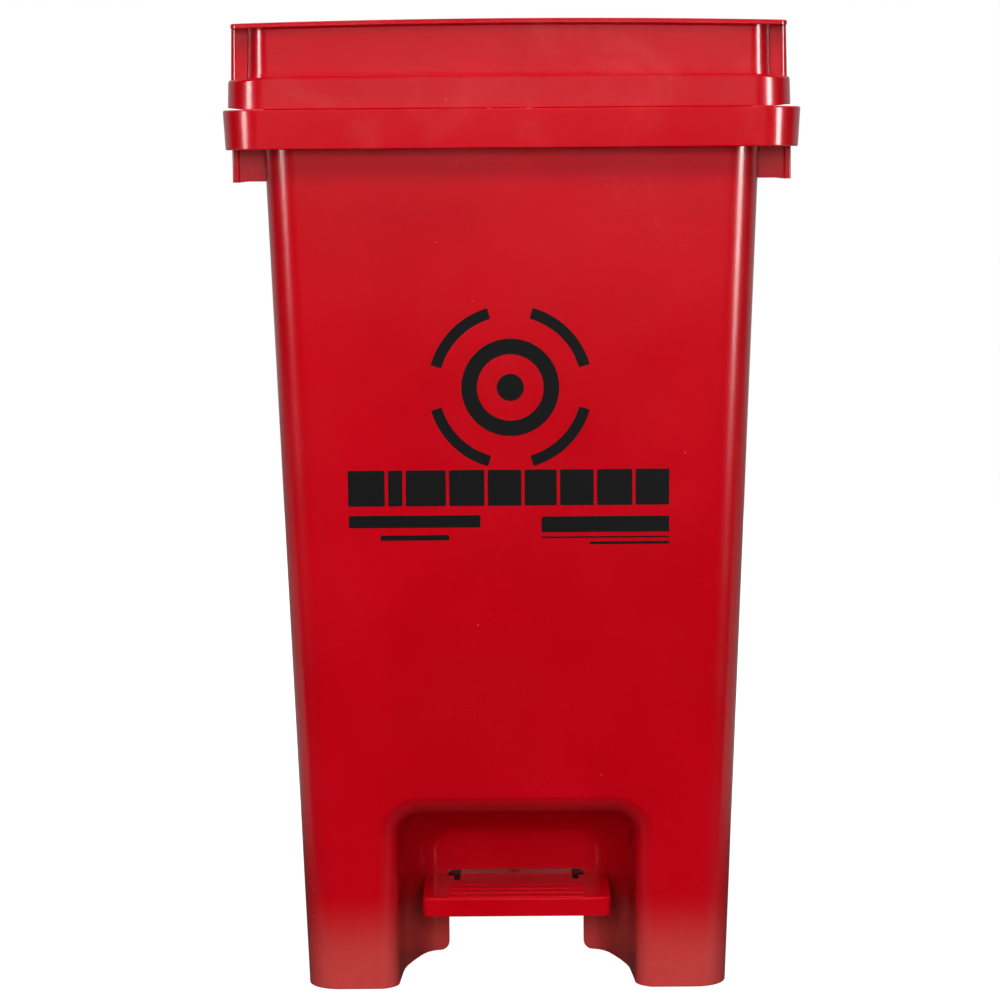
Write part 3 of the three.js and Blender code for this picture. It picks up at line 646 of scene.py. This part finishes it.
def band_outline(inset):
    half, front, back = BAND_HALF - inset, LID_FRONT + inset, LID_BACK - inset
    return shifted(plan(half, front, back, RIM_RADIUS - inset, LID_BOW))


def upper_outline(inset, radius=14):
    front, back = LID_FRONT + UPPER_STEP + inset, LID_BACK - UPPER_STEP - inset
    return shifted(plan(UPPER_HALF - inset, front, back, max(radius - inset, 1), LID_BOW))


def ear_outline(inset):
    front, back = LID_FRONT + EAR_SETBACK + inset, LID_BACK - EAR_SETBACK - inset
    return shifted(plan(EAR_HALF - inset, front, back, max(4 - inset, 0.8), 0, 6))


def flange_outline(inset):
    half, front, back = FLANGE_HALF - inset, LID_FRONT + 2 + inset, LID_BACK - 2 - inset
    return shifted(plan(half, front, back, 5 - inset, LID_BOW))


def smooth(low, high, value):
    share = min(max((value - low) / (high - low), 0.0), 1.0)
    return share * share * (3 - 2 * share)


def corner_bend(x, y):
    """0 in the middle of the band's front, 1 round its front corners, fading along the sides."""
    return smooth(140, 166, abs(x - LID_SHIFT)) * (1 - smooth(-110, 40, y))


def side_lift(x, y):
    """How far the band's lower edge stands off the rim towards the sides, more so at the rear."""
    return smooth(157, 169, abs(x - LID_SHIFT)) * (1.2 + 3.0 * smooth(-110, 90, y))


def band_solid():
    rings = []
    for z, inset in edge_levels(BAND_BOTTOM, 0.6, 3, False):
        rings.append([(x, y, z + side_lift(x, y)) for x, y in band_outline(inset)])
    for z, inset in edge_levels(BAND_TOP, 2.0, 5, True):
        rings.append([(x, y, z - 0.5 * (x / 150) ** 2 - 1.1 * corner_bend(x, y))
                      for x, y in band_outline(inset + 0.4)])
    return loft("lid_moulding", rings)


def crowned(piece):
    """Adds edge loops across the lid and lets its top fall a little towards both sides."""
    mesh = piece.data
    grown = bmesh.new()
    grown.from_mesh(mesh)
    for x in range(-150, 151, 15):
        bmesh.ops.bisect_plane(grown, geom=grown.verts[:] + grown.edges[:] + grown.faces[:],
                               plane_co=(x * MM, 0, 0), plane_no=(1, 0, 0))
    for vert in grown.verts:
        x, z = vert.co.x / MM - LID_SHIFT, vert.co.z / MM
        vert.co.z -= LID_CROWN * (x / FLANGE_HALF) ** 2 * smooth(BAND_TOP + 3, LID_TOP - 4, z) * MM
    grown.to_mesh(mesh)
    grown.free()
    return piece


def lid_knuckle(x):
    outline = [(LID_BACK - 1.5, hinge_z - 6.5)] + arc(hinge_y, hinge_z, KNUCKLE_RADIUS, -100, 100, 24)
    outline += [(LID_BACK - 1.5, BAND_TOP - 0.5)]
    return along_x("knuckle", outline, x - KNUCKLE_HALF_LENGTH, x + KNUCKLE_HALF_LENGTH, 0.5)


def bracket_screws():
    return [box_mm(f"bracket_screw_{name}") for name in ("front", "rear")]


def make_lid():
    under_flange = LID_TOP - FLANGE
    upper = upright("upper", [
        (BAND_TOP - 2, upper_outline(-0.4)), (BAND_TOP + 1.0, upper_outline(-0.4)),
        (BAND_TOP + 2.2, upper_outline(0)), (under_flange - 1.4, upper_outline(0.5)),
        (under_flange - 0.4, upper_outline(0.1)), (under_flange + 1, upper_outline(0.1)),
    ])
    ears = upright("ears", [(BAND_TOP - 2, ear_outline(0)), (under_flange + 1, ear_outline(0.6))])
    flange = upright("flange", [
        (under_flange, flange_outline(0.5)), (under_flange + 0.4, flange_outline(0.05)),
        (LID_TOP - 0.9, flange_outline(0)), (LID_TOP - 0.25, flange_outline(0.3)),
        (LID_TOP, flange_outline(1.0)),
    ])
    lid = join(band_solid(), upper, ears, flange)
    band_roof = BAND_TOP - WALL
    lid = cut(
        lid,
        upright("band_inside", [(BAND_BOTTOM - 3, band_outline(WALL)), (band_roof, band_outline(WALL))]),
        upright("upper_inside", [(band_roof - 1, upper_outline(WALL)), (under_flange, upper_outline(WALL))]),
        upright("ears_inside", [(band_roof - 1, ear_outline(WALL)), (under_flange, ear_outline(WALL))]),
    )
    bosses, holes = [], []
    bracket_top = box_mm("lift_bracket")[1].z
    for low, high in bracket_screws():
        y = (low.y + high.y) / 2
        outer = arc(0, y, 5, 0, 360, 40)[:-1]
        inner = arc(0, y, SCREW_HOLE, 0, 360, 24)[:-1]
        bosses.append(upright("boss", [(bracket_top + CLEARANCE, outer), (under_flange + 1, outer)]))
        holes.append(upright("boss_hole", [(bracket_top - 2, inner), (bracket_top + 7.5, inner)]))
    lid = join(lid, *bosses, lid_knuckle(-HINGE_SPREAD), lid_knuckle(HINGE_SPREAD))
    lid = cut(
        lid, *holes,
        round_bar_x("pin_hole", PIN_HOLE, -PIN_REACH, PIN_REACH, hinge_y, hinge_z),
        block("coupler_notch", -LIFT_SLOT_HALF, LIFT_SLOT_HALF, LID_BACK - WALL - 1, LID_BACK + 1,
              BAND_BOTTOM - 1, band_roof),
    )
    return finish_piece(crowned(lid), LID, ["lid"], RED_LID, bevel=0.4)


# ---------------------------------------------------------------- pedal tread

TREAD_HALF = tread_high.x
TREAD_FRONT, TREAD_BACK = tread_low.y, -20
TREAD_FRONT_TOP, TREAD_BACK_TOP, TREAD_BOTTOM, TREAD_WALL = 50.9, 52.6, tread_low.z, 2.6
TREAD_RIBS, TREAD_RIB_PITCH = 4, 10.2
TONGUE_HALF, TONGUE_BACK, TONGUE_BOTTOM, TONGUE_TOP = 36.2, tread_high.y, 48.6, tread_high.z


def tread_top(y):
    share = (y - TREAD_FRONT) / (TREAD_BACK - TREAD_FRONT)
    return TREAD_FRONT_TOP + (TREAD_BACK_TOP - TREAD_FRONT_TOP) * share


def tread_outline(inset, radius=5.0):
    """The tread's plan: round front corners and nearly square rear ones."""
    half, front, back = TREAD_HALF - inset, TREAD_FRONT + inset, TREAD_BACK - inset
    corner = max(radius - inset, 0.6)
    rear = max(1.6 - inset, 0.4)
    points = arc(half - rear, back - rear, rear, 0, 90, 5)
    points += arc(-half + rear, back - rear, rear, 90, 180, 5)
    points += arc(-half + corner, front + corner, corner, 180, 270, 10)
    points += arc(half - corner, front + corner, corner, 270, 360, 10)
    return points


def tread_ring(inset, drop=None, z=None):
    """A ring of the tread at a fixed height, or that far below its sloping top."""
    return [(x, y, z if drop is None else tread_top(y) - drop) for x, y in tread_outline(inset)]


def make_tread():
    rings = [tread_ring(1.0, z=TREAD_BOTTOM), tread_ring(0.4, z=TREAD_BOTTOM + 0.25),
             tread_ring(0.2, z=TREAD_BOTTOM + 0.9)]
    rings += [tread_ring(inset, drop=-z) for z, inset in edge_levels(0, 1.8, 5, True)]
    tread = loft("pedal_tread_moulding", rings)
    hollow = [tread_ring(TREAD_WALL, z=TREAD_BOTTOM - 1), tread_ring(TREAD_WALL, drop=TREAD_WALL)]
    inner = [[(x, y + (4 if y > -30 else 0), z) for x, y, z in ring] for ring in hollow]
    tread = cut(tread, loft("tread_inside", inner))
    webs, bosses, ribs = [], [], []
    for side, name in ((-1, "left"), (1, "right")):
        low, high = box_mm(f"pedal_arm_{name}")
        inner_x = low.x if side > 0 else high.x
        centre = inner_x + side * 1.5
        webs.append(block("web_slot", centre - 2, centre + 2, TREAD_BACK - 12, TREAD_BACK + 0.6, 44, 60))
        near, far = sorted((inner_x + side * 3.35, inner_x + side * 12))
        bosses.append(block("screw_boss", near, far, -58, -46, 39, 49.4, 1.2))
    for row in range(TREAD_RIBS):
        ribs.append(tread_rib(TREAD_FRONT + 1.9 + row * TREAD_RIB_PITCH))
    tongue = along_x("tongue", [(TREAD_BACK - 2, TONGUE_BOTTOM), (TONGUE_BACK, TONGUE_BOTTOM),
                                (TONGUE_BACK, TONGUE_TOP), (TREAD_BACK + 1, TONGUE_TOP),
                                (TREAD_BACK - 2, TREAD_BACK_TOP - 0.2)], -TONGUE_HALF, TONGUE_HALF, 0.4)
    tread = join(tread, *bosses, *ribs, tongue)
    screw_low, screw_high = box_mm("pedal_screw_left")
    hole = round_bar_x("screw_hole", SCREW_HOLE, -47.3, 47.3, (screw_low.y + screw_high.y) / 2,
                       (screw_low.z + screw_high.z) / 2)
    tread = cut(tread, *webs, hole)
    return finish_piece(tread, PEDAL, ["pedal_tread"], RED_TREAD, bevel=0.3)


def tread_rib(y):
    """A low rounded bar across the tread's top."""
    half, width, height = 43, 1.5, 0.8
    top = tread_top(y)
    outline = [(y - width, top - 1)]
    outline += [(y + width * u, top + height * v) for u, v in arc(0, 0, 1, 180, 0, 8)]
    outline += [(y + width, top - 1)]
    return along_x("tread_rib", outline[::-1], -half, half, 0.5)


# ---------------------------------------------------------------- printed marks

INK_PROUD, INK_SUNK = 0.12, 0.05


def on_front(x, z, proud):
    """A point on the drafted front wall, that far in front of it."""
    return (x, front_face_y(z) - proud, z)


def printed(name, outlines):
    """Thin raised ink: each outline of (x, z) points becomes a low solid on the front wall."""
    points, faces = [], []
    for outline in outlines:
        count = len(outline)
        base = len(points)
        points += [on_front(x, z, -INK_SUNK) for x, z in outline]
        points += [on_front(x, z, INK_PROUD) for x, z in outline]
        faces.append(tuple(range(base + count - 1, base - 1, -1)))
        faces.append(tuple(range(base + count, base + 2 * count)))
        for i in range(count):
            j = (i + 1) % count
            faces.append((base + i, base + j, base + count + j, base + count + i))
    piece = mesh_object(name, points, faces)
    return finish_ink(piece)


def finish_ink(piece):
    mesh = piece.data
    tidy = bmesh.new()
    tidy.from_mesh(mesh)
    bmesh.ops.recalc_face_normals(tidy, faces=tidy.faces)
    tidy.to_mesh(mesh)
    tidy.free()
    mesh.materials.append(INK)
    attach(piece, BODY)
    return piece


def ring_piece(name, x, z, outer, inner, start=0, end=360, steps=96):
    """A flat ring or part of one, on the front wall."""
    closed = end - start == 360
    outside = arc(x, z, outer, start, end, steps)
    inside = arc(x, z, inner, start, end, steps)
    if closed:
        outside, inside = outside[:-1], inside[:-1]
    count = len(outside)
    layers = [[on_front(u, v, proud) for u, v in line]
              for proud in (-INK_SUNK, INK_PROUD) for line in (outside, inside)]
    points = [point for layer in layers for point in layer]
    faces = []
    for i in range(count if closed else count - 1):
        j = (i + 1) % count
        faces.append((i, j, 2 * count + j, 2 * count + i))
        faces.append((count + j, count + i, 3 * count + i, 3 * count + j))
        faces.append((2 * count + i, 2 * count + j, 3 * count + j, 3 * count + i))
        faces.append((j, i, count + i, count + j))
    if not closed:
        faces.append((0, 2 * count, 3 * count, count))
        faces.append((count - 1, 2 * count - 1, 4 * count - 1, 3 * count - 1))
    return finish_ink(mesh_object(name, points, faces))


def bar(x0, x1, z0, z1, radius=0.8):
    """The outline of a bar with small round corners."""
    points = []
    for x, z, start in ((x1 - radius, z1 - radius, 0), (x0 + radius, z1 - radius, 90),
                        (x0 + radius, z0 + radius, 180), (x1 - radius, z0 + radius, 270)):
        points += arc(x, z, radius, start, start + 90, 4)
    return points


def make_print():
    """Plain black marks: a target of rings, a row of blocks and two short pairs of bars."""
    x, z = -1.9, 378.6
    ring_piece("print_ring", x, z, 29.8, 20.3)
    printed("print_disc", [arc(x, z, 8.3, 0, 360, 64)[:-1]])
    for index in range(4):
        start = 45 + index * 90 - 29
        ring_piece(f"print_outer_arc_{index + 1}", x, z, 50.3, 43.5, start, start + 58, 32)
    widths = [23, 9, 25, 22, 21, 20, 21, 22, 21]
    gap = 2.0
    left, row_length = -101.6, 196.4
    scale = row_length / (sum(widths) + gap * (len(widths) - 1))
    outlines = []
    for width in widths:
        outlines.append(bar(left, left + width * scale, 305.9, 328.1))
        left += (width + gap) * scale
    printed("print_block_row", outlines)
    printed("print_mark_left", [bar(-101.3, -20.7, 292.6, 300.2), bar(-82, -40, 284.7, 288, 0.5)])
    printed("print_mark_right", [bar(16.6, 94.8, 289.2, 299), bar(16.6, 94.8, 285.6, 286.6, 0.3),
                                 bar(46, 94.8, 281.6, 283.4, 0.4)])


# ---------------------------------------------------------------- stage

def make_camera():
    pitch, roll = math.radians(6.15), math.radians(-0.44)
    distance, height, aside = 1950, 523.2, -8.7
    data = bpy.data.cameras.new("camera")
    data.lens = 117.51
    data.sensor_width = 36.0
    data.clip_start = 0.05
    camera = bpy.data.objects.new("camera", data)
    bpy.context.scene.collection.objects.link(camera)
    spot = Vector((aside, RIM_FRONT - distance, height))
    tilt = Matrix.Rotation(math.radians(90) - pitch, 4, "X")
    camera.matrix_world = Matrix.Translation(spot * MM) @ tilt @ Matrix.Rotation(roll, 4, "Z")
    bpy.context.scene.camera = camera


def soft_light(name, place, target, width, height, power, glossy=True, diffuse=True):
    data = bpy.data.lights.new(name, "AREA")
    data.shape = "RECTANGLE"
    data.size, data.size_y = width, height
    data.energy = power
    lamp = bpy.data.objects.new(name, data)
    bpy.context.scene.collection.objects.link(lamp)
    lamp.location = place
    lamp.visible_glossy, lamp.visible_diffuse = glossy, diffuse
    lamp.rotation_euler = (Vector(target) - Vector(place)).to_track_quat("-Z", "Y").to_euler()


def make_world():
    """White to the camera; to the object, dark in front, bright behind and faint overhead."""
    world = bpy.data.worlds.new("studio")
    world.use_nodes = True
    tree = world.node_tree
    tree.nodes.clear()
    output = tree.nodes.new("ShaderNodeOutputWorld")
    seen = tree.nodes.new("ShaderNodeBackground")
    seen.inputs["Color"].default_value = (1, 1, 1, 1)
    seen.inputs["Strength"].default_value = 1.0
    lit = tree.nodes.new("ShaderNodeBackground")
    place = tree.nodes.new("ShaderNodeTexCoord")
    parts = tree.nodes.new("ShaderNodeSeparateXYZ")
    tree.links.new(place.outputs["Generated"], parts.inputs[0])
    behind = world_ramp(tree, parts.outputs["Y"], 0.15, 0.6, 0.0, 0.7)
    above = world_ramp(tree, parts.outputs["Z"], 0.0, 0.5, 0.0, 0.02)
    strength = tree.nodes.new("ShaderNodeMath")
    strength.operation = "ADD"
    tree.links.new(behind, strength.inputs[0])
    tree.links.new(above, strength.inputs[1])
    tree.links.new(strength.outputs[0], lit.inputs["Strength"])
    path = tree.nodes.new("ShaderNodeLightPath")
    mix = tree.nodes.new("ShaderNodeMixShader")
    tree.links.new(path.outputs["Is Camera Ray"], mix.inputs[0])
    tree.links.new(lit.outputs[0], mix.inputs[1])
    tree.links.new(seen.outputs[0], mix.inputs[2])
    tree.links.new(mix.outputs[0], output.inputs["Surface"])
    bpy.context.scene.world = world


def world_ramp(tree, value, low, high, bottom, top):
    """A smooth step of the value, from bottom at low to top at high."""
    made = tree.nodes.new("ShaderNodeMapRange")
    made.interpolation_type = "SMOOTHSTEP"
    for key, number in (("From Min", low), ("From Max", high), ("To Min", bottom), ("To Max", top)):
        made.inputs[key].default_value = number
    tree.links.new(value, made.inputs["Value"])
    return made.outputs["Result"]


def make_floor():
    """White to the camera; to the object, dark under its front and pale beside and behind it."""
    side, front, back = 2.2, -0.19, 2.6
    mesh = bpy.data.meshes.new("floor")
    mesh.from_pydata([(-side, front, 0), (side, front, 0), (side, back, 0), (-side, back, 0)], [],
                     [(0, 1, 2, 3)])
    floor = new_object("floor", mesh)
    graph = Graph("floor_paint")
    soft = graph.noise(2.0, 3.0, 0.5)
    colour = graph.mix(graph.ramp(soft, 0.3, 0.7), (0.05, 0.05, 0.05, 1), (0.07, 0.07, 0.07, 1))
    place = graph.node("ShaderNodeSeparateXYZ", Vector=graph.place)
    aside = graph.math("SUBTRACT", graph.math("ABSOLUTE", place.outputs["X"]), 0.2)
    away = graph.math("MAXIMUM", aside, place.outputs["Y"])
    colour = graph.mix(graph.ramp(away, 0.16, 0.4), colour, (0.85, 0.85, 0.84, 1))
    seen = graph.node("ShaderNodeLightPath").outputs["Is Camera Ray"]
    graph.shader.inputs["Emission Color"].default_value = (1, 1, 1, 1)
    mesh.materials.append(graph.set(Base_Color=colour, Roughness=0.7, Emission_Strength=seen))


def make_stage():
    make_world()
    make_floor()
    soft_light("front_softbox", (0, -2.4, 0.72), (0, 0, 0.3), 1.8, 0.8, 33, glossy=False)
    soft_light("high_softbox", (0, -1.7, 1.75), (0, 0, 0.3), 1.6, 0.6, 20, glossy=False)
    soft_light("left_strip", (-1.3, -0.95, 0.67), (0, 0, 0.5), 0.3, 0.66, 13, diffuse=False)
    soft_light("right_strip", (1.3, -0.95, 0.62), (0, 0, 0.5), 0.3, 0.8, 22, diffuse=False)
    soft_light("overhead_softbox", (0, -0.5, 2.1), (0, 0, 0.3), 1.6, 1.0, 12, glossy=False)
    scene = bpy.context.scene
    scene.view_settings.view_transform = "Standard"
    scene.view_settings.look = "None"


def dress_cad_nodes():
    """The steel and nylon parts that keep their CAD shape get their own materials."""
    finishes = {"black_steel": STEEL, "zinc_steel": ZINC, "black_nylon": NYLON}
    for part in frame["record"]["subparts"]:
        material = finishes.get(part["material_slot"])
        piece = frame["nodes"][part["node"]]
        if material:
            for index in range(max(len(piece.material_slots), 1)):
                if index >= len(piece.material_slots):
                    piece.data.materials.append(material)
                else:
                    piece.material_slots[index].material = material


make_camera()
make_stage()
make_bin_body()
make_lid()
make_tread()
make_print()
dress_cad_nodes()
